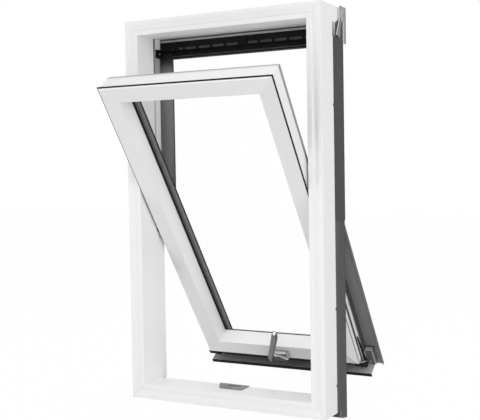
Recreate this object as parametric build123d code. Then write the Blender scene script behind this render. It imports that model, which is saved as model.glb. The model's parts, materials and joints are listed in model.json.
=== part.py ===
from build123d import *
import os
from math import cos, radians, sin

# A centre-pivot roof window, open. Millimetres, X across, Y from the room to the outside, Z up.
# The window is drawn with the room face of the frame in the plane Y = 0, its middle at X = 0
# and its underside at Z = 0, and is written with the origin on the right bracket's outer face.

# Frame profiles
frame_width = 660.0
frame_height = 1180.0
frame_depth = 137.0
face_width = 45.0            # room face of a profile, from its outer edge to the opening
face_flat = 11.0             # outer flat band of that face
face_slope_end = 23.0        # where the slope behind the flat band ends
face_step_start = 28.0       # foot of the step up to the inner band
face_step_end = 31.0         # top of that step
face_recess = 5.0            # depth of the slope's foot
inner_band_recess = 1.0      # depth of the inner band
profile_radius = 2.0
groove_lead = 2.0            # seal groove's start, ahead of the shut sash's room face
groove_width = 6.0
groove_depth = 6.0
outer_reveal_set_back = 3.0  # reveal beyond the groove, further from the middle
sill_set_back = 25.0         # the sill is this much shallower than the other profiles

# Frame seal
seal_lip = 2.5               # how far a seal stands out of its groove
seal_clearance = 0.3
frame_seal_drop = 38.0       # the seal ends this far below the pivot

# Frame cladding
sheet = 2.0
cladding_front = 88.0
cladding_edge = 0.6          # thickness of the side sheet's front edge
cladding_fold = 18.0         # depth over which it thickens to the full sheet
upper_cladding_reach = 28.0  # behind the frame
lower_cladding_reach = 24.0
upper_cladding_lap = 75.0    # from the frame's outer edge inwards
upper_cladding_hem = 8.0
lower_cladding_lap = 22.0
cladding_top_drop = 38.0     # side cladding ends this far below the frame's top
cladding_corner_cut = 20.0
cladding_notch_height = 50.0
head_cladding_lap = 30.0     # head cladding's lap over the side cladding
sill_cladding_top = 34.0     # sheet on the sill's outer face, above the frame's underside
apron_root_drop = 18.0       # where the sill's apron turns outwards, below the frame's underside
apron_edge_drop = 31.0
apron_edge_gap = 7.0         # from the apron's edge to the lower covers' back

# Ventilation strip behind the head
vent_depth = 17.0            # of the slotted strip, behind the frame
vent_bottom_drop = 82.0      # its lower edge, below the frame's top
vent_top_drop = 53.0
vent_side_gap = 1.0
vent_slot_count = 5          # on each side of the middle
vent_slot_height = 8.0
vent_slot_lift = 6.0         # slot centres above the strip's lower edge
vent_slot_depth = 2.5
vent_slot_pitch = 49.5
vent_slot_land = 9.0         # solid strip between two slots
vent_slot_middle = 28.0      # solid strip between the two innermost slots
vent_slot_offset = 9.0       # middle of the slots from the middle of the frame
vent_flap_drop = 106.0       # lower edge of the flap behind the strip, below the frame's top
vent_block_thickness = 7.0
vent_block_depth = 29.0
vent_block_drop = 103.0      # lower edge of the block, below the frame's top
vent_block_height = 26.0
carrier_lip_height = 6.0     # visible front of the rail that carries the strip
carrier_recess = 5.0         # the rail stands back by this much above its lip
carrier_grip = 12.0          # how far the rail reaches up the back of the head

# Installation brackets
bracket_sheet = 3.0
bracket_overlap = 7.0        # bracket's front, ahead of the frame's back
bracket_width = 51.0
bracket_rise = 5.0           # top of the bracket above the frame's top
bracket_head_height = 43.0
bracket_front_leg_width = 16.0
bracket_front_leg_foot_width = 26.0
bracket_front_leg_lean = 22.0
bracket_front_leg_drop = 52.0
bracket_back_leg_width = 20.0
bracket_back_leg_drop = 63.0
bracket_corner = 2.5
bracket_slot_width = 8.0
bracket_slot_length = 26.0
bracket_slot_inset = 10.0
bracket_hole_radius = 3.0
bracket_hole_spacing = 20.0

# Pivot: the axis lies outside the glass, and curved arms guide the sash about it
pivot_set_back = 120.0       # behind the room face of the shut sash
pivot_drop = 31.0            # below the middle of the frame
open_angle = 35.4
hinge_radius = 101.0
hinge_bar_width = 14.0
hinge_arm_half_angle = 33.0
hinge_arm_lean = 15.0        # middle of the arm, above the pivot when the sash is shut
housing_thickness = 3.2
housing_half_angle = 24.0
housing_width = 28.0

# Sash, drawn shut and then turned about the pivot axis
sash_side_gap = 6.5          # between the sash and the frame's reveal
sash_end_gap = 6.5
sash_set_in = 43.0           # room face of the shut sash, ahead of the frame's back
sash_profile_depth = 60.0
sash_face_width = 51.0
sash_radius = 2.5
bead_width = 16.0            # glazing bead, the part of the profile that carries the glass
bead_depth = 59.0
rim_cover_gap = 6.0          # from the grey rim behind the profiles to the glass covers
rim_thickness = 6.0
sash_seal_width = 3.5
sash_seal_stand = 3.5
sash_seal_bury = 3.0
sash_seal_set_back = 1.5
foot_front = 8.0             # where the bottom rail's underside starts to slope down
foot_back = 50.0
foot_drop = 37.0
bottom_seal_thickness = 10.0
bottom_seal_overhang = 5.0

# Glass unit
glass_depth = 62.0           # room face of the glass behind the sash's room face
pane_thickness = 4.0
glass_gap = 16.0
glass_bite = 14.0            # glass edge behind the sash's opening
glass_bottom_bite = 28.0     # the same at the bottom rail
spacer_inset = 2.0           # spacer's outer edge from the glass edge
spacer_width = 25.5
spacer_bottom_width = 8.0
gasket_width = 4.0

# Sash covers outside
cover_width = 20.0
cover_set_back = 2.0         # cover's inner edge, back from the sash's opening
cover_thickness = 3.0
cover_glass_gap = 2.0        # between the bottom cover's top edge and the glass edge
wing_front = 78.0            # room face of the wings behind the sash's room face
wing_wall_front = 52.0       # room edge of the wing's wall on the sash's side
wing_rim = 6.0               # turned edge of the wing, towards the room
wing_top_drop = 20.0         # top of the wings below the sash's middle
wing_edge_gap = 3.5          # from the wing's outer edge to the frame's side
wing_drop = 75.0             # wing's lower edge, below the sash's underside
cover_drop = 77.0            # bottom cover's edge seal, below the sash's underside
bottom_cover_overhang = 23.5
shelf_front = 17.0           # room edge of the bottom cover's shelf behind the room face
edge_seal_height = 11.0
edge_seal_thickness = 3.0
corner_cap_inset = 8.0       # cap's inner side, in from the sash's side
corner_cap_width = 38.0
corner_cap_height = 62.0

# Handle and striker
handle_height = 20.5         # middle of the handle's base above the sash's underside
handle_offset = 7.0          # middle of the base from the middle of the sash
handle_base_width = 56.0
handle_base_height = 27.0
handle_base_thickness = 17.0
lever_width = 17.5
lever_shoulder_width = 20.0
lever_tip_width = 14.0
lever_foot_width = 6.0
lever_taper = 18.0           # length of the tapered foot
lever_shoulder = 115.0       # where the lever is widest, above its foot
lever_thickness = 14.0
lever_length = 151.0
lever_lean = 20.3            # lever's turn from upright, its top to the right
lever_foot_offset = -30.5    # foot of the lever from the middle of the sash
lever_foot_height = 0.5      # foot of the lever above the sash's underside
striker_back_width = 104.0
striker_front_width = 76.0
striker_depth = 54.0
striker_edge_gap = 8.0       # from the striker to the sill's outer face
striker_thickness = 3.0
striker_side = 34.0          # right side of the striker from the frame's middle
striker_recess_width = 42.0
striker_recess_depth = 16.0
striker_recess_sink = 2.0
striker_recess_edge = 14.0   # from the recess to the striker's outer edge
striker_recess_set_in = 62.0

half_width = frame_width / 2
opening_half_width = half_width - face_width
outer_opening_half_width = opening_half_width + outer_reveal_set_back
cover_inner_inset = sash_face_width - cover_set_back
cover_outer_inset = cover_inner_inset - cover_width
rim_width = cover_outer_inset - rim_cover_gap
sill_depth = frame_depth - sill_set_back
upper_cladding_back = frame_depth + upper_cladding_reach
lower_cladding_back = frame_depth + lower_cladding_reach
apron_edge = lower_cladding_back - apron_edge_gap
bracket_front = frame_depth - bracket_overlap
sash_face_depth = frame_depth - sash_set_in
groove_front = sash_face_depth - groove_lead
striker_back = sill_depth - striker_edge_gap
striker_front = striker_back - striker_depth
sash_half_width = opening_half_width - sash_side_gap
sash_width = 2 * sash_half_width
sash_bottom = face_width + sash_end_gap
sash_top = frame_height - sash_bottom
pivot_depth = sash_face_depth + pivot_set_back
pivot_height = frame_height / 2 - pivot_drop
glass_face = sash_face_depth + glass_depth
wing_face = sash_face_depth + wing_front
wing_edge = half_width - wing_edge_gap
bottom_cover_half_width = sash_half_width + bottom_cover_overhang
shelf_top = sash_bottom - cover_drop + edge_seal_height
bottom_cover_top = sash_bottom + sash_face_width - glass_bottom_bite - cover_glass_gap
origin_point = (half_width + sheet + bracket_sheet, bracket_front + bracket_width / 2,
                frame_height + bracket_rise - bracket_head_height / 2)


def box(x, y, z):
    """A block between low and high limits on each axis."""
    size = [high - low for low, high in (x, y, z)]
    middle = [(low + high) / 2 for low, high in (x, y, z)]
    return Pos(*middle) * Box(*size)


def prism(plane, points, start, end):
    """A polygon on a plane, pushed along the plane's normal from start to end."""
    face = make_face(Polyline(*points, close=True))
    return extrude(plane.offset(start) * face, end - start)


def profile(points, rounded=(), radius=0.0):
    """A profile's section: distance in from the outer edge, then depth."""
    face = make_face(Polyline(*points, close=True))
    if not rounded:
        return face
    corners = [v for v in face.vertices() for p in rounded
               if abs(v.X - p[0]) < 1e-6 and abs(v.Y - p[1]) < 1e-6]
    return fillet(corners, radius)


def ring_member(section, side, width, bottom, top):
    """One mitred member of a rectangular ring in the XZ plane, from its section."""
    half = width / 2
    height = top - bottom
    planes = {
        "bottom": Plane((half, 0, bottom), x_dir=(0, 0, 1), z_dir=(-1, 0, 0)),
        "top": Plane((-half, 0, top), x_dir=(0, 0, -1), z_dir=(1, 0, 0)),
        "left": Plane((-half, 0, bottom), x_dir=(1, 0, 0), z_dir=(0, 0, 1)),
        "right": Plane((half, 0, top), x_dir=(-1, 0, 0), z_dir=(0, 0, -1)),
    }
    outlines = {
        "bottom": [(-half, bottom), (half, bottom), (0, bottom + half)],
        "top": [(-half, top), (0, top - half), (half, top)],
        "left": [(-half, bottom), (0, bottom + half), (0, top - half), (-half, top)],
        "right": [(half, bottom), (half, top), (0, top - half), (0, bottom + half)],
    }
    length = width if side in ("bottom", "top") else height
    bar = extrude(planes[side] * section, length)
    far = 2 * (pivot_depth + frame_depth)
    wedge = prism(Plane.XZ, outlines[side], -far, far)
    return bar & wedge


def ring(section, width, bottom, top):
    """All four members of a ring, joined at their mitres."""
    members = [ring_member(section, s, width, bottom, top) for s in ("bottom", "top", "left", "right")]
    return members[0] + members[1:]


def upper_part(solid, low):
    """The part of a solid above a height."""
    far = 2 * (pivot_depth + frame_depth)
    return solid & box((-frame_width, frame_width), (-far, far), (low, 2 * frame_height))


def frame_section(depth):
    """Section of a frame profile, with its stepped room face."""
    outer_reveal = face_width - outer_reveal_set_back
    groove_back = groove_front + groove_width
    points = [(0, 0), (face_flat, 0), (face_slope_end, face_recess), (face_step_start, face_recess),
              (face_step_end, inner_band_recess), (face_width, inner_band_recess),
              (face_width, groove_back), (outer_reveal, groove_back), (outer_reveal, depth), (0, depth)]
    return profile(points, [(0, 0), (face_width, inner_band_recess)], profile_radius)


def frame_member(side):
    """One frame profile, with the seal's groove where the seal runs."""
    depth = sill_depth if side == "bottom" else frame_depth
    member = ring_member(frame_section(depth), side, frame_width, 0, frame_height)
    if side == "bottom":
        return member
    groove = profile([(face_width - groove_depth, groove_front), (face_width, groove_front),
                      (face_width, groove_front + groove_width),
                      (face_width - groove_depth, groove_front + groove_width)])
    cut = ring_member(groove, side, frame_width, 0, frame_height)
    return member - upper_part(cut, pivot_height - frame_seal_drop)


def frame_gasket():
    """The seal in the reveal's groove, over the head and down to just below the pivot."""
    foot = face_width - groove_depth
    front = groove_front + seal_clearance
    back = groove_front + groove_width - seal_clearance
    section = profile([(foot, front), (face_width - outer_reveal_set_back + seal_lip, front),
                       (face_width - outer_reveal_set_back + seal_lip, back), (foot, back)])
    return upper_part(ring(section, frame_width, 0, frame_height), pivot_height - frame_seal_drop)


def mirrored(solid):
    return mirror(solid, Plane.YZ)


def side_sheet(back):
    """Outline of the side sheet from its thin front edge to its back, then the back sheet's side."""
    outer, edge = half_width + sheet, half_width + cladding_edge
    return [(half_width, back - sheet), (half_width, cladding_front), (edge, cladding_front),
            (outer, cladding_front + cladding_fold), (outer, back)]


def upper_cladding():
    """Right upper cover: side sheet, back sheet that laps inwards, and its turned hem."""
    outer = half_width + sheet
    inner = half_width - upper_cladding_lap
    back = upper_cladding_back
    bottom, top = pivot_height, frame_height - cladding_top_drop
    section = side_sheet(back) + [(inner, back), (inner, back - upper_cladding_hem),
                                  (inner + sheet, back - upper_cladding_hem), (inner + sheet, back - sheet)]
    cover = prism(Plane.XY, section, bottom, top)
    edge = cladding_front + cladding_fold
    notch = box((half_width, outer), (cladding_front, edge), (top - cladding_notch_height, top))
    slope = [(edge, top), (edge + cladding_corner_cut, top), (edge, top - cladding_corner_cut / 2)]
    corner = prism(Plane.YZ, slope, half_width, outer)
    return cover - notch - corner


def lower_cladding():
    """Right lower cover: side sheet down to the apron, and a narrow back sheet."""
    outer = half_width + sheet
    inner = half_width - lower_cladding_lap
    back = lower_cladding_back
    section = side_sheet(back) + [(inner, back), (inner, back - sheet)]
    cover = prism(Plane.XY, section, 0, pivot_height)
    foot = [(sill_depth, 0), (back, 0), (back, -apron_edge_drop), (sill_depth, -apron_root_drop)]
    return cover + prism(Plane.YZ, foot, half_width, outer)


def head_cladding():
    """Cover behind the head, lapped over the backs of the side covers, with a plate at each end."""
    back = upper_cladding_back + sheet
    top = frame_height
    sides_top = top - cladding_top_drop
    bottom = sides_top - head_cladding_lap
    section = [(frame_depth, top), (back, top), (back, bottom), (back - sheet, bottom),
               (back - sheet, top - sheet), (frame_depth, top - sheet)]
    end = half_width + sheet
    cover = prism(Plane.YZ, section, -half_width, half_width)
    for side in ((-end, -half_width), (half_width, end)):
        cover += box(side, (frame_depth, back), (sides_top, top))
    return cover


def sill_cladding():
    """Sheet on the sill's outer face that turns out below it as an apron."""
    front, back = sill_depth, sill_depth + sheet
    upright = profile([(0, front), (sill_cladding_top, front), (sill_cladding_top, back), (0, back)])
    apron = [(front, 0), (back, 0), (back, -apron_root_drop), (apron_edge, -apron_edge_drop),
             (apron_edge, -apron_edge_drop - sheet), (front, -apron_root_drop - sheet)]
    return (ring_member(upright, "bottom", frame_width, 0, frame_height)
            + prism(Plane.YZ, apron, -half_width, half_width))


def vent_strip():
    """Black slotted strip across the opening behind the head."""
    reach = outer_opening_half_width - vent_side_gap
    bottom, top = frame_height - vent_bottom_drop, frame_height - vent_top_drop
    strip = box((-reach, reach), (frame_depth, frame_depth + vent_depth), (bottom, top))
    middle = bottom + vent_slot_lift
    length = vent_slot_pitch - vent_slot_land
    for i in range(vent_slot_count):
        start = vent_slot_middle / 2 + i * vent_slot_pitch
        for low in (vent_slot_offset + start, vent_slot_offset - start - length):
            strip -= box((low, low + length), (frame_depth, frame_depth + vent_slot_depth),
                         (middle - vent_slot_height / 2, middle + vent_slot_height / 2))
    return strip


def vent_carrier():
    """Grey rail on the back of the head that carries the strip, recessed above its lip."""
    reach = outer_opening_half_width - vent_side_gap
    front, back = frame_depth, frame_depth + vent_depth
    bottom = frame_height - vent_top_drop
    lip = bottom + carrier_lip_height
    head_bottom = frame_height - face_width + outer_reveal_set_back
    points = [(front, bottom), (back, bottom), (back, head_bottom + carrier_grip),
              (front, head_bottom + carrier_grip), (front, head_bottom),
              (front + carrier_recess, head_bottom), (front + carrier_recess, lip), (front, lip)]
    return prism(Plane.YZ, points, -reach, reach)


def vent_flap():
    """Black flap on the back of the strip, between the hems of the upper covers."""
    reach = half_width - upper_cladding_lap
    return box((-reach, reach), (frame_depth + vent_depth, upper_cladding_back - sheet),
               (frame_height - vent_flap_drop, frame_height - vent_top_drop))


def vent_block():
    """Right stop plate on the reveal below the strip."""
    bottom = frame_height - vent_block_drop
    return box((outer_opening_half_width - vent_block_thickness, outer_opening_half_width),
               (frame_depth - vent_block_depth, frame_depth), (bottom, bottom + vent_block_height))


def bracket():
    """Right bracket: a head plate above the cladding with a leaning leg and an upright leg."""
    inner = half_width + sheet
    outer = inner + bracket_sheet
    top = frame_height + bracket_rise
    shoulder = top - bracket_head_height
    back = bracket_front + bracket_width
    cut = bracket_corner
    head_plate = prism(Plane.YZ, [(bracket_front, shoulder), (back, shoulder), (back, top - cut),
                                  (back - cut, top), (bracket_front + cut, top), (bracket_front, top - cut)],
                       inner, outer)
    lean = bracket_front_leg_lean
    foot = shoulder - bracket_front_leg_drop
    front_leg = prism(Plane.YZ, [(bracket_front, shoulder), (bracket_front - lean, foot + lean / 3),
                                 (bracket_front - lean + bracket_front_leg_foot_width, foot),
                                 (bracket_front + bracket_front_leg_width, shoulder)], inner, outer)
    back_leg = box((inner, outer), (back - bracket_back_leg_width, back),
                   (shoulder - bracket_back_leg_drop, shoulder))
    middle = shoulder + bracket_head_height / 2
    slot_place = Pos(bracket_front + bracket_slot_inset, middle)
    slot = slot_place * SlotOverall(bracket_slot_length, bracket_slot_width, 90)
    holes = [Pos(bracket_front + bracket_width / 2, middle + step * bracket_hole_spacing)
             * Circle(bracket_hole_radius) for step in (-0.5, 0.5)]
    cuts = [extrude(Plane.YZ.offset(inner) * shape, bracket_sheet) for shape in [slot] + holes]
    return head_plate + front_leg + back_leg - cuts


def striker_plate():
    """Keeper on the sill, wider at its outer edge, with a recess for the latch."""
    top = face_width + striker_thickness
    points = [(striker_side - striker_front_width, striker_front), (striker_side, striker_front),
              (striker_side, striker_back), (striker_side - striker_back_width, striker_back)]
    plate = extrude(Plane.XY.offset(face_width) * make_face(Polyline(*points, close=True)), striker_thickness)
    left = striker_side - striker_recess_set_in
    back = striker_back - striker_recess_edge
    recess = box((left, left + striker_recess_width), (back - striker_recess_depth, back),
                 (top - striker_recess_sink, top))
    return plate - recess


def arc_band(radius, width, low, high):
    """A band of a ring about the pivot axis in the YZ plane, between two angles above level."""
    middle = radians((low + high) / 2)
    inner, outer = radius - width / 2, radius + width / 2

    def point(r, angle):
        return (pivot_depth - r * cos(angle), pivot_height + r * sin(angle))
    a, b = radians(low), radians(high)
    edges = [ThreePointArc(point(inner, a), point(inner, middle), point(inner, b)),
             Line(point(inner, b), point(outer, b)),
             ThreePointArc(point(outer, b), point(outer, middle), point(outer, a)),
             Line(point(outer, a), point(inner, a))]
    return make_face(edges)


def hinge_housing():
    """Right frame half of the pivot hinge, on the reveal."""
    face = arc_band(hinge_radius, housing_width, -housing_half_angle, housing_half_angle)
    return extrude(Plane.YZ.offset(outer_opening_half_width - housing_thickness) * face, housing_thickness)


def hinge_arm():
    """Right sash half of the pivot hinge, on the shut sash's side."""
    thickness = outer_opening_half_width - sash_half_width - housing_thickness
    face = arc_band(hinge_radius, hinge_bar_width, hinge_arm_lean - hinge_arm_half_angle,
                    hinge_arm_lean + hinge_arm_half_angle)
    return extrude(Plane.YZ.offset(sash_half_width) * face, thickness)


def sash_section():
    """Section of a sash profile: room face, seal groove, glazing bead, and the seat of the rim."""
    y = sash_face_depth
    front = y + sash_seal_set_back
    points = [(0, y), (sash_face_width, y), (sash_face_width, y + bead_depth),
              (sash_face_width - bead_width, y + bead_depth),
              (sash_face_width - bead_width, y + sash_profile_depth), (0, y + sash_profile_depth),
              (0, front + sash_seal_width), (sash_seal_bury, front + sash_seal_width),
              (sash_seal_bury, front), (0, front)]
    return profile(points, [(sash_face_width, y)], sash_radius)


def sash_ring_member(section, side):
    return ring_member(section, side, sash_width, sash_bottom, sash_top)


def sash_bottom_rail():
    """Bottom profile, with a foot that slopes down towards the outside."""
    y = sash_face_depth
    foot = [(y + foot_front, sash_bottom), (y + foot_back, sash_bottom - foot_drop),
            (y + sash_profile_depth, sash_bottom - foot_drop), (y + sash_profile_depth, sash_bottom)]
    return (sash_ring_member(sash_section(), "bottom")
            + prism(Plane.YZ, foot, -sash_half_width, sash_half_width))


def sash_seal():
    """Seal in the groove behind the room face, over the top and down to the pivot."""
    front = sash_face_depth + sash_seal_set_back
    back = front + sash_seal_width
    foot = sash_seal_stand + sash_seal_bury
    section = profile([(0, front), (foot, front), (foot, back), (0, back)])
    loop = ring(section, sash_width + 2 * sash_seal_stand, sash_bottom - sash_seal_stand,
                sash_top + sash_seal_stand)
    return upper_part(loop, pivot_height)


def sash_rim():
    """Grey rim behind the profiles, all round."""
    front = sash_face_depth + sash_profile_depth
    section = profile([(0, front), (rim_width, front), (rim_width, front + rim_thickness),
                       (0, front + rim_thickness)])
    return ring(section, sash_width, sash_bottom, sash_top)


def glass_reach():
    """Half width, bottom and top of the glass."""
    edge = sash_face_width - glass_bite
    return sash_half_width - edge, sash_bottom + sash_face_width - glass_bottom_bite, sash_top - edge


def pane(front):
    reach, bottom, top = glass_reach()
    return box((-reach, reach), (front, front + pane_thickness), (bottom, top))


def spacer():
    """Bar between the panes, all round."""
    reach, bottom, top = glass_reach()
    depth = (glass_face + pane_thickness, glass_face + pane_thickness + glass_gap)
    outer, low, high = reach - spacer_inset, bottom + spacer_inset, top - spacer_inset
    inner = outer - spacer_width
    return (box((-outer, outer), depth, (low, high))
            - box((-inner, inner), depth, (low + spacer_bottom_width, high - spacer_width)))


def glazing_gasket():
    """Seal between the glazing bead and the glass, all round."""
    front = sash_face_depth + bead_depth
    section = profile([(sash_face_width - gasket_width, front), (sash_face_width, front),
                       (sash_face_width, glass_face), (sash_face_width - gasket_width, glass_face)])
    return ring(section, sash_width, sash_bottom, sash_top)


def cover_section():
    """Section of a glass cover: a leg down to the profile and a plate over the glass edge."""
    foot = sash_face_depth + sash_profile_depth
    glass_back = glass_face + 2 * pane_thickness + glass_gap
    back = glass_back + cover_thickness
    outer, inner = cover_outer_inset, cover_inner_inset
    return profile([(outer, foot), (outer + cover_thickness, foot), (outer + cover_thickness, glass_back),
                    (inner, glass_back), (inner, back), (outer, back)])


def side_cover(side):
    """Glass cover of one side, mitred at the top and cut square above the rim's lower bar."""
    low = sash_bottom + rim_width
    bar = ring_member(cover_section(), side, sash_width, low - cover_inner_inset, sash_top)
    far = 2 * (pivot_depth + frame_depth)
    return bar - box((-half_width, half_width), (0, far), (0, low))


def bottom_cover():
    """Plate outside the bottom rail, with a shelf under it that runs back towards the room."""
    front = wing_face + cover_thickness
    back = front + cover_thickness
    edge = sash_face_depth + shelf_front + edge_seal_thickness
    high = bottom_cover_top
    points = [(front, high), (back, high), (back, shelf_top - sheet), (edge, shelf_top - sheet),
              (edge, shelf_top), (front, shelf_top)]
    return prism(Plane.YZ, points, -bottom_cover_half_width, bottom_cover_half_width)


def bottom_edge_seal():
    """Black lip on the shelf's room edge."""
    edge = sash_face_depth + shelf_front
    low = sash_bottom - cover_drop
    return box((-bottom_cover_half_width, bottom_cover_half_width), (edge, edge + edge_seal_thickness),
               (low, low + edge_seal_height))


def side_wing():
    """Right cover of the sash's lower half: a wall on the sash's side and a plate out over the frame."""
    inner = sash_half_width - cover_outer_inset
    back = wing_face + cover_thickness
    rim = wing_edge - cover_thickness
    section = [(inner, wing_face), (rim, wing_face), (rim, wing_face - wing_rim),
               (wing_edge, wing_face - wing_rim), (wing_edge, back), (inner, back)]
    low = sash_bottom - wing_drop
    high = (sash_bottom + sash_top) / 2 - wing_top_drop
    wall = box((sash_half_width, sash_half_width + sheet), (sash_face_depth + wing_wall_front, wing_face),
               (sash_bottom, high))
    notch = box((inner, bottom_cover_half_width), (wing_face, back), (low, shelf_top))
    return prism(Plane.XY, section, low, high) - notch + wall


def corner_cap():
    """Grey end cap on the room side of the right wing's bottom corner."""
    left = sash_half_width - corner_cap_inset
    return box((left, left + corner_cap_width), (sash_face_depth + sash_profile_depth, wing_face),
               (sash_bottom - corner_cap_height, sash_bottom))


def bottom_seal():
    """Black seal on the sloping foot of the bottom rail."""
    reach = sash_half_width + bottom_seal_overhang
    front, back = sash_face_depth + foot_front, sash_face_depth + foot_back
    low = sash_bottom - foot_drop
    points = [(front, sash_bottom), (back, low), (back, low - bottom_seal_thickness),
              (front, sash_bottom - bottom_seal_thickness)]
    return prism(Plane.YZ, points, -reach, reach)


def handle_base():
    middle = sash_bottom + handle_height
    half = handle_base_width / 2
    return box((handle_offset - half, handle_offset + half),
               (sash_face_depth - handle_base_thickness, sash_face_depth),
               (middle - handle_base_height / 2, middle + handle_base_height / 2))


def handle_lever():
    """Flat lever on the handle's base, tapered at its foot and leaning to the right at its top."""
    right = [(lever_foot_width / 2, 0), (lever_width / 2, lever_taper),
             (lever_shoulder_width / 2, lever_shoulder), (lever_tip_width / 2, lever_length)]
    left = [(-x, z) for x, z in reversed(right)]
    face = Rot(0, 0, -lever_lean) * make_face(Polyline(*right, *left, close=True))
    foot_middle = (lever_foot_offset, sash_face_depth - handle_base_thickness,
                   sash_bottom + lever_foot_height)
    place = Plane(foot_middle, x_dir=(1, 0, 0), z_dir=(0, -1, 0))
    return extrude(place * face, lever_thickness)


def opened(solid):
    """Turns a piece of the shut sash about the pivot axis to its open place."""
    axis = Axis((0, pivot_depth, pivot_height), (1, 0, 0))
    return solid.rotate(axis, open_angle)


def frame_parts():
    parts = {
        "frame_head": frame_member("top"),
        "frame_sill": frame_member("bottom"),
        "frame_left_jamb": frame_member("left"),
        "frame_right_jamb": frame_member("right"),
        "frame_gasket": frame_gasket(),
        "head_cladding": head_cladding(),
        "sill_cladding": sill_cladding(),
        "vent_strip": vent_strip(),
        "vent_carrier": vent_carrier(),
        "vent_flap": vent_flap(),
        "striker_plate": striker_plate(),
    }
    pairs = {"upper_{}_cladding": upper_cladding, "lower_{}_cladding": lower_cladding,
             "{}_vent_block": vent_block, "{}_bracket": bracket, "{}_hinge_housing": hinge_housing}
    return parts | both_sides(pairs)


def sash_parts():
    profiles = {"sash_top_rail": "top", "sash_left_stile": "left", "sash_right_stile": "right"}
    parts = {name: sash_ring_member(sash_section(), side) for name, side in profiles.items()}
    parts |= {
        "sash_bottom_rail": sash_bottom_rail(),
        "sash_rim": sash_rim(),
        "sash_seal": sash_seal(),
        "sash_top_cover": sash_ring_member(cover_section(), "top"),
        "sash_left_cover": side_cover("left"),
        "sash_right_cover": side_cover("right"),
        "sash_bottom_cover": bottom_cover(),
        "sash_bottom_seal": bottom_seal(),
        "bottom_edge_seal": bottom_edge_seal(),
        "glazing_gasket": glazing_gasket(),
        "inner_pane": pane(glass_face),
        "glass_spacer": spacer(),
        "outer_pane": pane(glass_face + pane_thickness + glass_gap),
        "handle_base": handle_base(),
        "handle_lever": handle_lever(),
    }
    pairs = {"{}_side_wing": side_wing, "{}_corner_cap": corner_cap, "{}_hinge_arm": hinge_arm}
    parts |= both_sides(pairs)
    return {name: opened(solid) for name, solid in parts.items()}


def both_sides(pairs):
    """A right-hand piece and its mirror image under the names made from each pattern."""
    parts = {}
    for name, make in pairs.items():
        right = make()
        parts[name.format("right")] = right
        parts[name.format("left")] = mirrored(right)
    return parts


os.makedirs("parts", exist_ok=True)
to_origin = Location((-origin_point[0], -origin_point[1], -origin_point[2]))
for part_name, part in (frame_parts() | sash_parts()).items():
    export_step(part.moved(to_origin), f"parts/{part_name}.step")
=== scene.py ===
"""Looks of the open roof window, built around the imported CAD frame."""

import json
import math

import bmesh
import bpy
from mathutils import Euler, Matrix, Vector


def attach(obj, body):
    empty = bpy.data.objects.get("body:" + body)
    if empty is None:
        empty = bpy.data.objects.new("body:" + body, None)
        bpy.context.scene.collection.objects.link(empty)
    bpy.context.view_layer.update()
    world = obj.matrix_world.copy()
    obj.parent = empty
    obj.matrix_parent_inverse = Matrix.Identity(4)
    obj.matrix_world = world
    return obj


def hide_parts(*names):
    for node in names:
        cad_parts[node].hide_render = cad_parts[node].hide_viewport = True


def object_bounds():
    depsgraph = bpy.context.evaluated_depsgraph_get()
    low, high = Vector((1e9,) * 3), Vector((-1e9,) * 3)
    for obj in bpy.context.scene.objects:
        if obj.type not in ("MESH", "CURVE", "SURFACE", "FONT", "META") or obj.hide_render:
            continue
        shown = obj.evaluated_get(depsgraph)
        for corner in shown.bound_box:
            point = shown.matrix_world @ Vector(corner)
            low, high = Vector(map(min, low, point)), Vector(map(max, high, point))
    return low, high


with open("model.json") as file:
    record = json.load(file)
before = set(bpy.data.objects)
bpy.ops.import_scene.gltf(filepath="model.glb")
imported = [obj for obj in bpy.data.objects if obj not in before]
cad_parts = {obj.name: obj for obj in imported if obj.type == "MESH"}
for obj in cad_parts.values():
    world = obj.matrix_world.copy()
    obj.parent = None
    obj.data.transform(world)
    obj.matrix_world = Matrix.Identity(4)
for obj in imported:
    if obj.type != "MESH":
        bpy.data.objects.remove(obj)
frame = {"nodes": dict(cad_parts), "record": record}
cad_low, cad_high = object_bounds()

NODES = frame["nodes"]
MM = 0.001

# Millimetres are taken from the frame's middle, room face and underside.
ORIGIN = Vector((335.0, 155.5, 1163.5))
FRAME_HALF_WIDTH = 330.0
FRAME_HEIGHT = 1180.0
FRAME_BACK = 137.0
REVEAL_HALF_WIDTH = 288.0
REVEAL_EDGE_TOP = 1086.0
SEAL_FOOT = 521.0
VENT_BOTTOM = 1098.0
VENT_MIDDLE = 9.0

# The sash's millimetres are those of the shut window. It is then turned about the pivot.
PIVOT = Vector((0.0, 214.0, 559.0))
OPEN_ANGLE = math.radians(35.4)
SASH_HALF_WIDTH = 278.5
SASH_BOTTOM = 51.5
SASH_TOP = 1128.5
SASH_FACE = 94.0
SASH_BACK = 154.0
SASH_FACE_WIDTH = 51.0
GLASS_FACE = 156.0
GLASS_BACK = 180.0
COVER_BACK = 183.0
CAP_HALF_WIDTH = 308.0
CAP_BACK = 171.5

LEVER_FOOT = Vector((-36.0, 0, 52.0))
LEVER_LEAN = math.radians(24.0)

OUTWARD = (0.0, 1.0, 0.0)
SASH_OUTWARD = (0.0, math.cos(OPEN_ANGLE), math.sin(OPEN_ANGLE))
SASH_ROOMWARD = tuple(-part for part in SASH_OUTWARD)

# Side of the square lamps, in metres.
LAMP_SIZE = 2.4


def on_frame():
    """Places millimetres of the frame."""
    return Matrix.Scale(MM, 4) @ Matrix.Translation(-ORIGIN)


def on_sash():
    """Places millimetres of the shut sash on the open one."""
    turn = Matrix.Rotation(OPEN_ANGLE, 4, "X") @ Matrix.Translation(-PIVOT)
    return Matrix.Scale(MM, 4) @ Matrix.Translation(PIVOT - ORIGIN) @ turn


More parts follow.
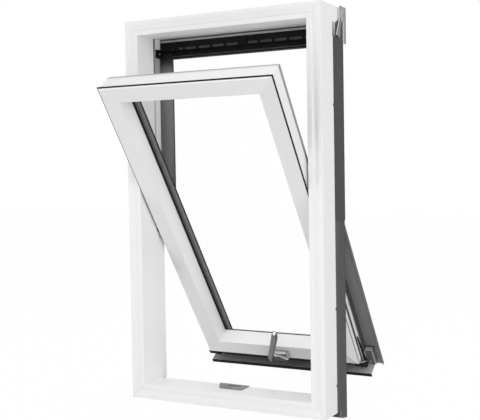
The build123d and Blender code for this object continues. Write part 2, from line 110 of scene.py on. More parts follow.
def new_material(name, colour, roughness, metallic=0.0, gloss=0.5):
    """A material with a principled shader, its node tree and that shader."""
    material = bpy.data.materials.new(name)
    material.use_nodes = True
    tree = material.node_tree
    shader = tree.nodes["Principled BSDF"]
    shader.inputs["Base Color"].default_value = (*colour, 1.0)
    shader.inputs["Roughness"].default_value = roughness
    shader.inputs["Metallic"].default_value = metallic
    shader.inputs["Specular IOR Level"].default_value = gloss
    return material, tree, shader


def noise(tree, scale, detail=3.0):
    """A noise texture in object space, in features per metre."""
    coordinates = tree.nodes.new("ShaderNodeTexCoord")
    texture = tree.nodes.new("ShaderNodeTexNoise")
    texture.inputs["Scale"].default_value = scale
    texture.inputs["Detail"].default_value = detail
    tree.links.new(coordinates.outputs["Object"], texture.inputs["Vector"])
    return texture.outputs["Fac"]


def ramp(tree, value, low, high):
    """Maps a value from 0..1 to a range."""
    node = tree.nodes.new("ShaderNodeMapRange")
    node.inputs["To Min"].default_value = low
    node.inputs["To Max"].default_value = high
    tree.links.new(value, node.inputs["Value"])
    return node.outputs["Result"]


def tint(tree, value, first, second):
    """Mixes two colours by a value."""
    node = tree.nodes.new("ShaderNodeMix")
    node.data_type = "RGBA"
    node.inputs[6].default_value = (*first, 1.0)
    node.inputs[7].default_value = (*second, 1.0)
    tree.links.new(value, node.inputs[0])
    return node.outputs[2]


def fine_grain(tree, shader):
    """Roughens the surface by a grain of a few hundredths of a millimetre."""
    node = tree.nodes.new("ShaderNodeBump")
    node.inputs["Distance"].default_value = 0.00003
    tree.links.new(noise(tree, 900.0, 2.0), node.inputs["Height"])
    tree.links.new(node.outputs["Normal"], shader.inputs["Normal"])


def surface(name, first, second, rough, metallic=0.0, gloss=0.5):
    """A finish with slightly varied colour and roughness and a fine grain."""
    material, tree, shader = new_material(name, first, sum(rough) / 2, metallic, gloss)
    broad = noise(tree, 14.0)
    tree.links.new(tint(tree, broad, first, second), shader.inputs["Base Color"])
    tree.links.new(ramp(tree, broad, *rough), shader.inputs["Roughness"])
    fine_grain(tree, shader)
    return material


def warm(value):
    """A grey of a given brightness with a trace less green."""
    return (value, value * 0.984, value)


def grey(name, value, rough=(0.4, 0.5), metallic=0.0, gloss=0.5):
    """A grey finish of a given brightness."""
    return surface(name, warm(value), warm(value * 1.12), rough, metallic, gloss)


def grade(tree, socket, coordinates, tone, axis):
    """Gives a colour socket one grey, or greys along an axis: places in millimetres and values."""
    if isinstance(tone, float):
        socket.default_value = (*warm(tone), 1.0)
        return
    split = tree.nodes.new("ShaderNodeSeparateXYZ")
    tree.links.new(coordinates.outputs["Object"], split.inputs["Vector"])
    place = tree.nodes.new("ShaderNodeMapRange")
    start = ORIGIN["XYZ".index(axis)]
    first = tone[0][0]
    last = tone[-1][0]
    place.inputs["From Min"].default_value = (first - start) * MM
    place.inputs["From Max"].default_value = (last - start) * MM
    tree.links.new(split.outputs[axis], place.inputs["Value"])
    colours = tree.nodes.new("ShaderNodeValToRGB")
    tree.links.new(place.outputs["Result"], colours.inputs["Fac"])
    elements = colours.color_ramp.elements
    while len(elements) < len(tone):
        elements.new(0.5)
    for element, (position, value) in zip(elements, tone):
        element.position = (position - first) / (last - first)
        element.color = (*warm(value), 1.0)
    tree.links.new(colours.outputs["Color"], socket)


def turned_away(tree, coordinates, outward):
    """Is 1 on the faces that look away from an outward direction."""
    along = tree.nodes.new("ShaderNodeVectorMath")
    along.operation = "DOT_PRODUCT"
    along.inputs[1].default_value = outward
    tree.links.new(coordinates.outputs["Normal"], along.inputs[0])
    turned = tree.nodes.new("ShaderNodeMapRange")
    turned.inputs["From Min"].default_value = -0.4
    turned.inputs["From Max"].default_value = -0.6
    tree.links.new(along.outputs["Value"], turned.inputs["Value"])
    return turned.outputs["Result"]


def two_sided(name, tone, outward, inner, axis="Y", inner_axis="Z", metallic=0.0, gloss=0.5):
    """A finish with one tone, and another on the faces that look away from an outward direction."""
    material, tree, shader = new_material(name, (0.2, 0.2, 0.2), 0.42, metallic, gloss)
    coordinates = tree.nodes.new("ShaderNodeTexCoord")
    mix = tree.nodes.new("ShaderNodeMix")
    mix.data_type = "RGBA"
    grade(tree, mix.inputs[6], coordinates, tone, axis)
    grade(tree, mix.inputs[7], coordinates, inner, inner_axis)
    tree.links.new(turned_away(tree, coordinates, outward), mix.inputs[0])
    tree.links.new(mix.outputs[2], shader.inputs["Base Color"])
    tree.links.new(ramp(tree, noise(tree, 14.0), 0.36, 0.46), shader.inputs["Roughness"])
    fine_grain(tree, shader)
    return material


def clear_glass():
    """Clear glass with a faint gloss at low angles."""
    material, tree, shader = new_material("clear_glass", (1.0, 1.0, 1.0), 0.03, metallic=1.0)
    clear = tree.nodes.new("ShaderNodeBsdfTransparent")
    clear.inputs["Color"].default_value = (0.999, 0.999, 0.999, 1.0)
    facing = tree.nodes.new("ShaderNodeLayerWeight")
    facing.inputs["Blend"].default_value = 0.5
    steep = tree.nodes.new("ShaderNodeMath")
    steep.operation = "POWER"
    steep.inputs[1].default_value = 5.0
    tree.links.new(facing.outputs["Facing"], steep.inputs[0])
    mix = tree.nodes.new("ShaderNodeMixShader")
    tree.links.new(ramp(tree, steep.outputs[0], 0.0, 0.4), mix.inputs["Fac"])
    tree.links.new(clear.outputs["BSDF"], mix.inputs[1])
    tree.links.new(shader.outputs["BSDF"], mix.inputs[2])
    tree.links.new(mix.outputs["Shader"], tree.nodes["Material Output"].inputs["Surface"])
    return material


def white_plastic():
    return surface("white_pvc", (0.955, 0.95, 0.956), (0.94, 0.935, 0.941), (0.34, 0.4))


def dark_spacer():
    return surface("dark_spacer", (0.13, 0.13, 0.12), (0.145, 0.145, 0.135), (0.4, 0.5))


def galvanised_steel():
    """Steel that is darker close to the frame by painted shade, and pale across its room side by a
    painted highlight.
    """
    tone = [(107, 0.17), (128, 0.17), (132, 0.12), (140, 0.14),
            (144, 0.34), (162, 0.34), (166, 0.26), (181, 0.22)]
    return two_sided("galvanised_steel", tone, OUTWARD, 0.95, metallic=0.2)


def cladding_grey(name, share):
    """Grey sheet whose lighter front fold is a painted highlight, paler inside, with painted shade that
    darkens it close under the head.
    """
    tone = [(88, 0.075 * share), (104, 0.055 * share), (108, 0.032 * share), (152, 0.028 * share),
            (165, 0.018)]
    inner = [(1022, 0.38), (1045, 0.25), (1062, 0.1), (1075, 0.04), (1098, 0.02)]
    return two_sided(name, tone, OUTWARD, inner, gloss=0.2)


def stile_white(name, value, inner):
    """White of a stile, less bright higher up on its room side: painted light and shade along its
    length.
    """
    return two_sided(name, value, SASH_OUTWARD, inner)


def top_rail_white():
    """White of the top rail, with a painted highlight along the top edge of its room side; the rest of
    that side and its faces higher up are darker by painted shade.
    """
    top = [(900.0, 0.94), (953.9, 0.94), (954.5, 0.8), (1000.0, 0.8)]
    room_side = [(912.0, 0.8), (949.9, 0.8), (950.3, 0.99), (954.0, 0.99)]
    return two_sided("sash_top_white", top, SASH_OUTWARD, room_side, "Z")


def bottom_rail_white():
    """White of the bottom rail, less bright to the right on its room side: painted shade for the right
    jamb's shadow.
    """
    room_side = [(-278, 1.0), (278, 0.66)]
    return two_sided("sash_bottom_white", 0.97, SASH_OUTWARD, room_side, inner_axis="X")


def shelf_grey():
    """Grey of the sheet below the sash, which gets brighter towards its ends: painted light at the ends
    and painted shade under the sash's middle.
    """
    tone = [(-302, 0.36), (-259, 0.32), (-150, 0.26), (-58, 0.23), (19, 0.2),
            (100, 0.24), (205, 0.3), (258, 0.46), (302, 0.66)]
    return two_sided("shelf_grey", tone, SASH_ROOMWARD, 0.06, "X")


def gasket_grey():
    """Rubber of the frame's seal, paler between the pivot and the open sash's top; its darkness above
    the sash's top is painted shade.
    """
    tone = [(560, 0.08), (590, 0.5), (985, 0.5), (1000, 0.08)]
    return two_sided("gasket_grey", tone, OUTWARD, tone, "Z")


def reveal_grey():
    """Rubber of the frame seal's lip, darker above the open sash by painted shade."""
    return two_sided("reveal_grey", [(985, 0.85), (1005, 0.4)], OUTWARD, 0.45, "Z")


def filler_grey():
    """Grey of the claddings' notches, brighter towards the head."""
    tone = [(1092, 0.08), (1110, 0.25), (1133, 0.5)]
    return two_sided("filler_grey", tone, OUTWARD, 0.3, "Z")


def make_materials():
    """Every finish by name: the record's slots first, then those of single nodes and small details."""
    return {
        "white_pvc": white_plastic(),
        "black_rubber": grey("black_rubber", 0.01, (0.6, 0.7), gloss=0.2),
        "dark_spacer": dark_spacer(),
        "black_plastic": grey("black_plastic", 0.006, (0.5, 0.6), gloss=0.1),
        "light_grey_aluminium": grey("light_grey_aluminium", 0.27, (0.35, 0.45), 0.3),
        "galvanised_steel": galvanised_steel(),
        "grey_plastic": grey("grey_plastic", 0.12, gloss=0.3),
        "silver_metal": grey("silver_metal", 0.2, (0.3, 0.4), 0.4),
        "grey_aluminium": grey("grey_aluminium", 0.06, gloss=0.3),
        "glass": clear_glass(),
        "weld_white": grey("weld_white", 0.8),
        # The head's upward faces are a darker white: painted shade.
        "head_white": two_sided("head_white", 0.95, (0.0, 0.0, -1.0), 0.8),
        # The right jamb's faces that look right are a darker white: painted shade.
        "right_jamb_white": two_sided("right_jamb_white", 0.94, (-1.0, 0.0, 0.0), 0.86),
        # The right stile is a darker white than the left one: painted shade on that side of the sash.
        "sash_right_white": stile_white("sash_right_white", 0.87, [(100, 0.9), (950, 0.76)]),
        "sash_white": stile_white("sash_white", 0.94, [(100, 0.94), (950, 0.8)]),
        "sash_top_white": top_rail_white(),
        "sash_bottom_white": bottom_rail_white(),
        "upper_cladding_grey": cladding_grey("upper_cladding_grey", 0.55),
        "lower_cladding_grey": cladding_grey("lower_cladding_grey", 1.0),
        "wing_grey": two_sided("wing_grey", 0.062, SASH_OUTWARD, 0.22, gloss=0.3),
        "shelf_grey": shelf_grey(),
        "carrier_grey": grey("carrier_grey", 0.36),
        # The lever's faces that look right are a darker grey: painted shade.
        "lever_grey": two_sided("lever_grey", 0.23, (-1.0, 0.0, 0.0), 0.1),
        "slot_grey": grey("slot_grey", 0.05, gloss=0.3),
        "seal_grey": grey("seal_grey", 0.08, (0.5, 0.6), gloss=0.3),
        "groove_shade_grey": grey("groove_shade_grey", 0.2),
        "reveal_grey": reveal_grey(),
        "gasket_grey": gasket_grey(),
        "edge_grey": grey("edge_grey", 0.13),
        "reveal_shade_grey": grey("reveal_shade_grey", 0.38),
        "pale_grey": grey("pale_grey", 0.62),
        "filler_grey": filler_grey(),
        "cap_highlight_grey": grey("cap_highlight_grey", 0.48),
        "highlight_metal": grey("highlight_metal", 0.78, (0.25, 0.35), 0.4),
        "base_metal": grey("base_metal", 0.4, (0.35, 0.45), 0.3),
        "dark_metal": grey("dark_metal", 0.06, (0.35, 0.45), 0.3),
        "screw_steel": grey("screw_steel", 0.35, (0.3, 0.4), 0.7),
    }


FINISH_OF_NODE = {
    "upper_left_cladding": "upper_cladding_grey",
    "upper_right_cladding": "upper_cladding_grey",
    "lower_left_cladding": "lower_cladding_grey",
    "lower_right_cladding": "lower_cladding_grey",
    "left_side_wing": "wing_grey",
    "right_side_wing": "wing_grey",
    "vent_carrier": "carrier_grey",
    "sash_left_stile": "sash_white",
    "sash_right_stile": "sash_right_white",
    "frame_right_jamb": "right_jamb_white",
    "frame_head": "head_white",
    "sash_top_rail": "sash_top_white",
    "sash_bottom_rail": "sash_bottom_white",
    "sash_bottom_cover": "shelf_grey",
    "sash_bottom_seal": "shelf_grey",
    "frame_gasket": "gasket_grey",
}


def soften(thing, width):
    """Rounds a piece's edges by a width in millimetres and keeps its flat faces evenly lit."""
    bevel = thing.modifiers.new("bevel", "BEVEL")
    bevel.limit_method = "ANGLE"
    bevel.angle_limit = math.radians(30)
    bevel.width = width * MM
    bevel.segments = 2
    bevel.harden_normals = True
    normals = thing.modifiers.new("normals", "WEIGHTED_NORMAL")
    normals.keep_sharp = True


def dress_cad_nodes(materials):
    """Gives each CAD node its finish and softened edges."""
    slots = {row["node"]: row["material_slot"] for row in frame["record"]["subparts"]}
    for name, node in NODES.items():
        node.data.materials.clear()
        node.data.materials.append(materials[FINISH_OF_NODE.get(name, slots[name])])
        weld = node.modifiers.new("weld", "WELD")
        weld.merge_threshold = 0.00001
        soften(node, 0.5)


def add_skin(mesh, rings):
    """Joins rings of corners into a closed skin with a face at each end."""
    mesh.faces.new(rings[0][::-1])
    mesh.faces.new(rings[-1])
    for here, there in zip(rings, rings[1:]):
        count = len(here)
        for i in range(count):
            j = (i + 1) % count
            mesh.faces.new((here[i], here[j], there[j], there[i]))


def add_prism(mesh, outline, low, high, axis):
    """Adds a polygon pushed along an axis; its corners name the other two axes in order."""
    ends = []
    for depth in (low, high):
        corners = []
        for a, b in outline:
            place = {"x": (depth, a, b), "y": (a, depth, b), "z": (a, b, depth)}[axis]
            corners.append(mesh.verts.new(place))
        ends.append(corners)
    add_skin(mesh, ends)


def add_box(mesh, x, y, z):
    """Adds a box between two places on each axis."""
    corners = [(x[0], z[0]), (x[1], z[0]), (x[1], z[1]), (x[0], z[1])]
    add_prism(mesh, corners, y[0], y[1], "y")


def add_side_boxes(mesh, inner, outer, y, z):
    """Adds a box on both sides, between two distances from the window's middle."""
    for sign in (-1, 1):
        add_box(mesh, sorted((sign * inner, sign * outer)), y, z)


def add_side_prisms(mesh, outline, inner, outer):
    """Adds an outline of depths and heights on both sides, between two distances from the middle."""
    for sign in (-1, 1):
        add_prism(mesh, outline, *sorted((sign * inner, sign * outer)), "x")


def add_strip(mesh, section, half_width, bottom, top, open_foot=False):
    """Runs a section round an upright rectangle with mitred corners: inset, then depth.

    With an open foot the strip has no bottom bar and its legs end square.
    """
    rings = []
    for inset, depth in section:
        side = half_width - inset
        foot = bottom if open_foot else bottom + inset
        corners = ((-side, foot), (-side, top - inset), (side, top - inset), (side, foot))
        rings.append([mesh.verts.new((x, depth, z)) for x, z in corners])
    for here, there in zip(rings, rings[1:] + rings[:1]):
        for j in range(3 if open_foot else 4):
            k = (j + 1) % 4
            mesh.faces.new((here[j], here[k], there[k], there[j]))
    if open_foot:
        mesh.faces.new([ring[0] for ring in rings])
        mesh.faces.new([ring[3] for ring in rings][::-1])


def add_screw(mesh, place, outward, radius, height):
    """Adds a pan head screw with a six-lobed recess."""
    rings = [(1.0, 0.0), (1.0, 0.45), (0.86, 0.85), (0.6, 1.0), (0.42, 1.0), (0.34, 0.4)]
    recess = 0.5
    turn = Vector(outward).to_track_quat("Z", "Y").to_matrix()
    skins = []
    for share, rise in rings:
        ring = []
        for i in range(24):
            angle = math.tau * i / 24
            lobe = 1.0 + 0.14 * math.cos(6 * angle) if share < recess else 1.0
            local = Vector((math.cos(angle) * share * lobe, math.sin(angle) * share * lobe, 0)) * radius
            local.z = rise * height
            ring.append(mesh.verts.new(Vector(place) + turn @ local))
        skins.append(ring)
    add_skin(mesh, skins)


def add_piece(name, mesh, place, finish, width=0.3, replaced=()):
    """Turns a mesh in millimetres into a piece of the window that rides on its frame."""
    bmesh.ops.recalc_face_normals(mesh, faces=mesh.faces)
    bmesh.ops.transform(mesh, matrix=place, verts=mesh.verts)
    data = bpy.data.meshes.new(name)
    mesh.to_mesh(data)
    mesh.free()
    data.shade_smooth()
    piece = bpy.data.objects.new(name, data)
    bpy.context.scene.collection.objects.link(piece)
    data.materials.append(materials[finish])
    soften(piece, width)
    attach(piece, "root")
    if replaced:
        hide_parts(*replaced)


def weld_lines(name, place, half_width, bottom, top, section):
    """Fine weld beads across the mitres of a ring of profiles: inset, then depth."""
    half_bead = 0.35
    bead_height = 0.15
    mesh = bmesh.new()
    for sign in (-1, 1):
        for low in (True, False):
            across = half_bead * sign * (1 if low else -1)
            rings = []
            for inset, depth in section:
                x = sign * (half_width - inset)
                z = bottom + inset if low else top - inset
                corners = ((x - across, depth, z - half_bead), (x, depth - bead_height, z),
                           (x + across, depth, z + half_bead))
                rings.append([mesh.verts.new(corner) for corner in corners])
            add_skin(mesh, rings)
    add_piece(name, mesh, place, "weld_white", 0.05)


def frame_weld_lines():
    """Weld beads over the stepped face of the frame."""
    face = [(2.0, 0.0), (11.0, 0.0), (23.0, 5.0), (28.0, 5.0), (31.0, 1.0), (43.0, 1.0)]
    weld_lines("frame_weld_lines", on_frame(), FRAME_HALF_WIDTH, 0.0, FRAME_HEIGHT, face)


def frame_seal():
    """Lip of the seal in the reveal and the plugs that close its lower ends."""
    section = [(42.0, 98.2), (44.6, 98.2), (44.2, 100.0), (42.6, 106.5), (42.0, 106.5)]
    lip = bmesh.new()
    add_strip(lip, section, FRAME_HALF_WIDTH, SEAL_FOOT, FRAME_HEIGHT, open_foot=True)
    add_piece("frame_seal_lip", lip, on_frame(), "reveal_grey")
    plugs = bmesh.new()
    add_side_boxes(plugs, 285.2, REVEAL_HALF_WIDTH, (97.0, 107.0), (SEAL_FOOT - 3.0, SEAL_FOOT + 20.0))
    add_piece("frame_seal_plugs", plugs, on_frame(), "black_rubber", 0.8)


def reveal_edges():
    """Dark strip along the reveal's back edge, and a grey sheet in front of it above the open sash that
    paints the shade there.
    """
    edges = bmesh.new()
    add_side_boxes(edges, 287.6, REVEAL_HALF_WIDTH, (131.5, FRAME_BACK), (560.0, REVEAL_EDGE_TOP))
    add_piece("frame_back_edges", edges, on_frame(), "edge_grey", 0.1)
    # Grey sheets paint the shade on the reveal above the open sash.
    painted_shade_sheets = bmesh.new()
    add_side_boxes(painted_shade_sheets, 287.7, REVEAL_HALF_WIDTH, (107.0, 131.3), (1000.0, REVEAL_EDGE_TOP))
    add_piece("reveal_painted_shade", painted_shade_sheets, on_frame(), "reveal_shade_grey", 0.1)


def carrier_seal():
    """Round seal between the head and the profile that carries the vent; its dark grey also paints the
    shade in the groove there.
    """
    bead = bmesh.new()
    add_box(bead, (-287.0, 287.0), (137.4, 142.0), (1133.3, 1137.7))
    add_piece("carrier_seal", bead, on_frame(), "seal_grey", 1.0)


def cladding_clips():
    """Clips that hold the side claddings to the jambs."""
    tabs = bmesh.new()
    outer = FRAME_HALF_WIDTH + 0.9
    for middle in (80.5, 305.7, 895.4, 1096.0):
        add_side_boxes(tabs, FRAME_HALF_WIDTH, outer, (84.0, 88.6), (middle - 3.5, middle + 3.5))
    add_piece("cladding_clips", tabs, on_frame(), "black_plastic")


def cladding_notch_fillers():
    """Strips that show in the side claddings' notches beside the brackets."""
    fillers = bmesh.new()
    add_side_boxes(fillers, FRAME_HALF_WIDTH, FRAME_HALF_WIDTH + 1.0, (84.0, 105.5), (1092.5, 1133.0))
    add_piece("cladding_notch_fillers", fillers, on_frame(), "filler_grey")


def vent_grilles():
    """A ribbed grille in each slot of the vent, five slots to a side."""
    slot = 40.5
    pitch = 49.5
    gap = 14.0
    ribs = 7
    heights = (VENT_BOTTOM + 2.4, VENT_BOTTOM + 9.6)
    grilles = bmesh.new()
    for i in range(5):
        for low in (VENT_MIDDLE + gap + i * pitch, VENT_MIDDLE - gap - i * pitch - slot):
            add_box(grilles, (low + 0.6, low + slot - 0.6), (138.2, 139.5), heights)
            for step in range(1, ribs + 1):
                rib = low + step * slot / (ribs + 1)
                add_box(grilles, (rib - 0.5, rib + 0.5), (137.3, 138.2), heights)
    add_piece("vent_grilles", grilles, on_frame(), "slot_grey", 0.2)


def vent_clips():
    """Tapered clips in front of the vent strip, each with a small catch."""
    clips = bmesh.new()
    for middle in (-227.0, 20.5):
        outline = [(middle - 12.0, 1100.0), (middle + 12.0, 1100.0), (middle + 7.5, 1116.0),
                   (middle + 7.5, 1126.0), (middle - 7.5, 1126.0), (middle - 7.5, 1116.0)]
        add_prism(clips, outline, 133.5, FRAME_BACK, "y")
        add_box(clips, (middle - 4.0, middle + 4.0), (131.5, 133.5), (1104.0, 1112.0))
    add_piece("vent_clips", clips, on_frame(), "black_plastic", 0.8)


def vent_block_screws():
    """A screw in each stop plate at the vent's ends."""
    screws = bmesh.new()
    for sign in (-1, 1):
        add_screw(screws, (sign * 281.0, 122.0, 1090.0), (-sign, 0, 0), 3.0, 1.6)
    add_piece("vent_block_screws", screws, on_frame(), "screw_steel", 0.1)


def vent_flap_beads():
    """Two beads along the vent flap's room face, below the strip."""
    beads = bmesh.new()
    for low in (1074.2, 1081.0):
        add_box(beads, (-254.0, 254.0), (152.6, 154.0), (low, low + 3.0))
    add_piece("vent_flap_beads", beads, on_frame(), "slot_grey", 0.5)


def glazing_lips_and_sealant():
    """Rubber lips on both faces of the glass and the sealant along the spacer."""
    inner = [(51.0, 153.6), (53.5, 153.8), (56.5, 155.4), (56.5, GLASS_FACE), (51.0, GLASS_FACE)]
    lip = bmesh.new()
    add_strip(lip, inner, SASH_HALF_WIDTH, 102.5, SASH_TOP, open_foot=True)
    add_piece("inner_glazing_lip", lip, on_sash(), "black_rubber", 0.2)
    sealant = bmesh.new()
    add_strip(sealant, [(0.0, 171.5), (1.4, 171.5), (1.4, 176.0), (0.0, 176.0)], 214.0, 84.5, 1064.0,
              open_foot=True)
    add_piece("edge_sealant", sealant, on_sash(), "black_rubber")
    outer = [(49.0, GLASS_BACK), (51.5, GLASS_BACK), (51.0, 181.0), (49.0, 182.2)]
    lip = bmesh.new()
    add_strip(lip, outer, SASH_HALF_WIDTH, 74.5, SASH_TOP, open_foot=True)
    add_piece("outer_glazing_lip", lip, on_sash(), "black_rubber", 0.2)


def sash_weld_lines():
    """Weld beads over the flat face of the sash."""
    face = [(1.0, SASH_FACE), (SASH_FACE_WIDTH - 2.5, SASH_FACE)]
    weld_lines("sash_weld_lines", on_sash(), SASH_HALF_WIDTH, SASH_BOTTOM, SASH_TOP, face)


def sash_rim_lips():
    """Light metal lips along the rim, at the sash's sides and over its top."""
    lips = bmesh.new()
    add_side_boxes(lips, SASH_HALF_WIDTH - 0.5, SASH_HALF_WIDTH + 0.5, (147.0, SASH_BACK),
                   (SASH_BOTTOM, SASH_TOP + 0.5))
    add_piece("sash_rim_lips", lips, on_sash(), "light_grey_aluminium", 0.1)
    # The top lip is paler than the side lips: painted light on the rim's top.
    top_lip = bmesh.new()
    add_box(top_lip, (-SASH_HALF_WIDTH, SASH_HALF_WIDTH), (149.0, SASH_BACK),
            (SASH_TOP - 0.5, SASH_TOP + 0.4))
    add_piece("sash_top_lip", top_lip, on_sash(), "pale_grey", 0.1)


def sash_side_seals():
    """Stepped seals along the sides of the sash's lower half."""
    seals = bmesh.new()
    for rise, depths in ((2.5, (116.5, 125.0)), (4.0, (119.0, 122.0))):
        add_side_boxes(seals, SASH_HALF_WIDTH, SASH_HALF_WIDTH + rise, depths, (38.0, 520.0))
    add_piece("sash_side_seals", seals, on_sash(), "seal_grey")


def sash_side_feet():
    """White ends of the sash's sides, cut level below the open bottom rail."""
    outline = [(95.0, SASH_BOTTOM), (149.0, SASH_BOTTOM), (149.0, 13.5)]
    feet = bmesh.new()
    add_side_prisms(feet, outline, SASH_HALF_WIDTH - 1.5, SASH_HALF_WIDTH)
    add_piece("sash_side_feet", feet, on_sash(), "sash_right_white")


def sash_groove_shade():
    """Grey strips that paint the shade in the grooves at the room side of the sash's sides."""
    strips = bmesh.new()
    add_side_boxes(strips, SASH_HALF_WIDTH - 2.9, SASH_HALF_WIDTH + 0.3, (94.8, 101.0), (54.0, 555.0))
    add_piece("sash_groove_shade", strips, on_sash(), "groove_shade_grey", 0.2)


def bottom_rail_runners():
    """Black runners: rods and blocks at the bottom corners and a bar under the bottom rail."""
    runners = bmesh.new()
    rod = [(130.5, 137.0), (135.0, 137.0), (146.0, 34.0), (150.0, 6.0), (144.5, 4.0), (134.5, 24.0)]
    add_side_prisms(runners, rod, SASH_HALF_WIDTH, SASH_HALF_WIDTH + 4.0)
    block = [(100.0, 47.0), (102.0, 47.0), (144.0, 12.0), (144.0, -2.0), (131.0, -5.0), (100.0, 34.0)]
    add_side_prisms(runners, block, 268.0, 284.5)
    depths = (99.5, 102.0)
    add_side_boxes(runners, SASH_HALF_WIDTH - 20.0, SASH_HALF_WIDTH + 10.0, depths, (32.0, 47.0))
    add_side_boxes(runners, SASH_HALF_WIDTH - 56.0, SASH_HALF_WIDTH - 20.0, depths, (39.0, 51.3))
    bar_end = SASH_HALF_WIDTH - 56.0
    add_box(runners, (-bar_end, bar_end), (95.0, 99.0), (38.0, 51.3))
    add_piece("bottom_rail_runners", runners, on_sash(), "black_plastic", 0.8)


def corner_cap_details():
    """Lid and bevelled outer edge of each corner cap in a paler grey that paints their light, dark
    strips that paint the shadow lines round the lid, and a screw.
    """
    # The lid and outer edge are a paler grey: painted light on the cap's top and bevel.
    edges = bmesh.new()
    add_side_boxes(edges, 281.0, CAP_HALF_WIDTH, (154.5, CAP_BACK), (51.5, 53.5))
    add_side_boxes(edges, CAP_HALF_WIDTH - 3.0, CAP_HALF_WIDTH, (152.6, 154.0), (-9.0, 51.0))
    add_piece("corner_cap_edges", edges, on_sash(), "cap_highlight_grey")
    # Dark strips paint the shadow lines above and beside each lid.
    seals = bmesh.new()
    add_side_boxes(seals, 281.0, CAP_HALF_WIDTH + 1.5, (CAP_BACK - 3.0, CAP_BACK), (53.5, 56.5))
    add_side_boxes(seals, CAP_HALF_WIDTH, CAP_HALF_WIDTH + 1.0, (158.0, CAP_BACK), (40.0, 56.5))
    add_piece("corner_cap_shadow_lines", seals, on_sash(), "seal_grey")
    screws = bmesh.new()
    for sign in (-1, 1):
        add_screw(screws, (sign * 290.0, 154.0, 2.7), (0, -1, 0), 3.5, 1.8)
    add_piece("corner_cap_screws", screws, on_sash(), "screw_steel", 0.1)


def cover_screws():
    """Screws that hold the glass covers and the wings, on the outside."""
    radius = 4.0
    height = 2.0
    cover_inset = 39.0
    screws = bmesh.new()
    for sign in (-1, 1):
        for z in (140.0, 370.0, 600.0, 830.0, 1050.0):
            place = (sign * (SASH_HALF_WIDTH - cover_inset), COVER_BACK, z)
            add_screw(screws, place, OUTWARD, radius, height)
        for z in (30.0, 200.0, 370.0, 530.0):
            add_screw(screws, (sign * 300.0, 175.0, z), OUTWARD, radius, height)
    for x in (-150.0, 0.0, 150.0):
        add_screw(screws, (x, COVER_BACK, SASH_TOP - cover_inset), OUTWARD, radius, height)
        add_screw(screws, (x, 178.0, 45.0), OUTWARD, radius, height)
    add_piece("cover_screws", screws, on_sash(), "dark_metal", 0.1)


def on_lever(length, sideways, depth):
    """A place on the leaning lever: its length from the foot, then sideways, then its depth."""
    along = Vector((math.sin(LEVER_LEAN), 0, math.cos(LEVER_LEAN)))
    across = Vector((math.cos(LEVER_LEAN), 0, -math.sin(LEVER_LEAN)))
    return LEVER_FOOT + along * length + across * sideways + Vector((0, depth, 0))


def handle_lever_body():
    """The lever, chamfered along its front and rounded over at its tip.

    Each station names a length from the foot, the breadth to the left and right and the front's depth.
    """
    back = 77.0
    stations = [(3.0, -5.5, 7.5, 69.0), (8.0, -1.0, 8.0, 65.5), (20.0, 8.3, 8.3, 63.4),
                (64.0, 9.3, 9.3, 63.0), (126.0, 11.4, 10.4, 63.0), (138.0, 11.4, 7.4, 63.4),
                (145.0, 11.2, 5.2, 65.0), (150.0, 10.2, 4.0, 68.5), (152.5, 9.2, 3.2, 73.0)]
    lever = bmesh.new()
    rings = []
    for length, left, right, front in stations:
        chamfer = min(3.6, (left + right) * 0.25)
        shoulder = front + min(5.0, back - front - 1.0)
        outline = [(-left, back), (-left, shoulder), (chamfer - left, front),
                   (right - chamfer, front), (right, shoulder), (right, back)]
        rings.append([lever.verts.new(on_lever(length, sideways, depth)) for sideways, depth in outline])
    add_skin(lever, rings)
    add_piece("handle_lever_body", lever, on_sash(), "lever_grey", 0.8, ["handle_lever"])


def handle_lever_tip():
    """The bright bevel on the lever's tip, a painted highlight: length, sideways and depth of its
    corners.
    """
    outline = [(146.6, -3.0, 62.6), (149.4, 2.2, 64.0), (153.6, 1.4, 70.0), (153.6, -7.2, 70.0),
               (149.4, -8.0, 64.0)]
    thickness = 3.0
    tip = bmesh.new()
    sheets = []
    for rise in (0.0, thickness):
        sheets.append([tip.verts.new(on_lever(length, sideways, depth + rise))
                       for length, sideways, depth in outline])
    add_skin(tip, sheets)
    add_piece("handle_lever_tip", tip, on_sash(), "highlight_metal", 0.4)


def handle_base():
    """The handle's base plate with its dark recess and bright raised bars; the dark metal paints the
    recess's shade and the bright metal the bars' highlights.
    """
    front = 86.0
    plate = bmesh.new()
    add_box(plate, (-21.0, 35.0), (front, SASH_FACE), (58.5, 85.5))
    add_prism(plate, [(31.0, 64.0), (35.0, 60.0), (35.0, 85.5), (30.0, 85.5)], 80.0, front, "y")
    add_piece("handle_base_plate", plate, on_sash(), "base_metal", 0.6, ["handle_base"])
    # A dark block and sheet paint the shade of the recess.
    recess = bmesh.new()
    add_prism(recess, [(-21.0, 51.0), (20.0, 51.0), (26.0, 58.5), (-21.0, 70.0)], 77.0, front, "y")
    add_prism(recess, [(-6.0, 82.0), (29.0, 64.5), (29.5, 82.0)], 85.5, 86.5, "y")
    add_piece("handle_base_shade", recess, on_sash(), "dark_metal", 0.3)
    # The bars' bright metal paints their highlights.
    bars = bmesh.new()
    add_prism(bars, [(-17.0, 78.0), (-12.0, 79.5), (33.0, 61.5), (31.0, 57.0)], 77.0, front, "y")
    add_prism(bars, [(-12.0, 81.8), (29.0, 81.8), (28.0, 86.2), (-16.0, 86.2)], 80.0, 86.6, "y")
    add_prism(bars, [(-19.0, 62.0), (-6.0, 66.0), (-7.0, 78.0), (-17.0, 80.0)], 78.5, front, "y")
    add_piece("handle_base_bars", bars, on_sash(), "highlight_metal", 0.6)


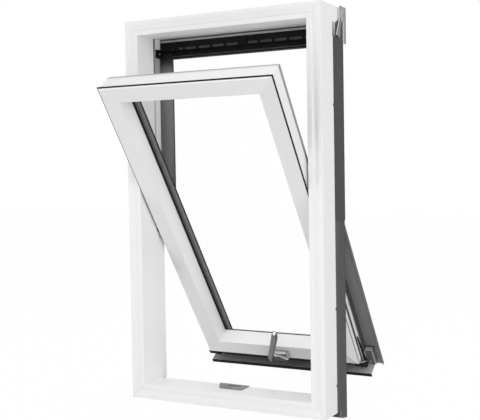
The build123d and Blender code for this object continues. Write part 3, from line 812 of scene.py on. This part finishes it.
def make_camera():
    """Camera fitted to the photo."""
    data = bpy.data.cameras.new("camera")
    data.lens = 67.0716
    data.sensor_width = 36.0
    camera = bpy.data.objects.new("camera", data)
    camera.location = (0.95888, -2.47672, -0.45627)
    camera.rotation_euler = Euler([math.radians(a) for a in (87.5605, 0.9864, 27.8245)], "XYZ")
    bpy.context.scene.collection.objects.link(camera)
    bpy.context.scene.camera = camera


def area_light(name, offset, power):
    """A square lamp at an offset from the frame's middle, which it looks at."""
    middle = (Vector((0.0, 60.0, 589.0)) - ORIGIN) * MM
    data = bpy.data.lights.new(name, "AREA")
    data.shape = "SQUARE"
    data.size = LAMP_SIZE
    data.energy = power
    light = bpy.data.objects.new(name, data)
    light.location = middle + Vector(offset)
    light.rotation_euler = (middle - light.location).to_track_quat("-Z", "Y").to_euler()
    bpy.context.scene.collection.objects.link(light)


def make_lights():
    """Soft lamps from the left, the right, the front and above."""
    area_light("left", (-3.6, -1.6, 0.6), 32)
    area_light("right", (3.2, -2.4, 0.8), 36)
    area_light("front", (1.4, -3.8, 0.6), 13)
    area_light("top", (0.5, 0.5, 3.2), 50)


def white_to_camera(tree, shade, share):
    """Mixes a surface with plain white for rays that see it directly, mirrored or through glass."""
    paths = tree.nodes.new("ShaderNodeLightPath")
    seen = paths.outputs["Is Camera Ray"]
    for ray in ("Is Glossy Ray", "Is Transmission Ray"):
        either = tree.nodes.new("ShaderNodeMath")
        either.operation = "MAXIMUM"
        tree.links.new(seen, either.inputs[0])
        tree.links.new(paths.outputs[ray], either.inputs[1])
        seen = either.outputs[0]
    scale = tree.nodes.new("ShaderNodeMath")
    scale.operation = "MULTIPLY"
    scale.inputs[1].default_value = share
    tree.links.new(seen, scale.inputs[0])
    white = tree.nodes.new("ShaderNodeEmission")
    mix = tree.nodes.new("ShaderNodeMixShader")
    tree.links.new(scale.outputs[0], mix.inputs["Fac"])
    tree.links.new(shade, mix.inputs[1])
    tree.links.new(white.outputs[0], mix.inputs[2])
    return mix.outputs[0]


def make_world():
    """Even white surroundings."""
    world = bpy.data.worlds.new("world")
    world.use_nodes = True
    tree = world.node_tree
    background = tree.nodes["Background"]
    background.inputs["Color"].default_value = (1.0, 1.0, 1.0, 1.0)
    background.inputs["Strength"].default_value = 0.55
    out = white_to_camera(tree, background.outputs["Background"], 1.0)
    tree.links.new(out, tree.nodes["World Output"].inputs["Surface"])
    bpy.context.scene.world = world


def make_floor():
    """Pale floor under the window's lowest edge."""
    mesh = bmesh.new()
    bmesh.ops.create_grid(mesh, x_segments=1, y_segments=1, size=12.0)
    data = bpy.data.meshes.new("floor")
    mesh.to_mesh(data)
    mesh.free()
    floor = bpy.data.objects.new("floor", data)
    floor.location = (cad_low.x / 2, 0.0, cad_low.z)
    bpy.context.scene.collection.objects.link(floor)
    material, tree, shader = new_material("floor", (0.9, 0.9, 0.9), 0.9, gloss=0.0)
    out = white_to_camera(tree, shader.outputs["BSDF"], 0.985)
    tree.links.new(out, tree.nodes["Material Output"].inputs["Surface"])
    data.materials.append(material)


materials = make_materials()
dress_cad_nodes(materials)
frame_weld_lines()
frame_seal()
reveal_edges()
carrier_seal()
cladding_clips()
cladding_notch_fillers()
vent_grilles()
vent_clips()
vent_block_screws()
vent_flap_beads()
glazing_lips_and_sealant()
sash_weld_lines()
sash_rim_lips()
sash_side_seals()
sash_side_feet()
sash_groove_shade()
bottom_rail_runners()
corner_cap_details()
cover_screws()
handle_lever_body()
handle_lever_tip()
handle_base()
make_camera()
make_lights()
make_world()
make_floor()
bpy.context.scene.view_settings.view_transform = "Standard"

bpy.context.view_layer.update()
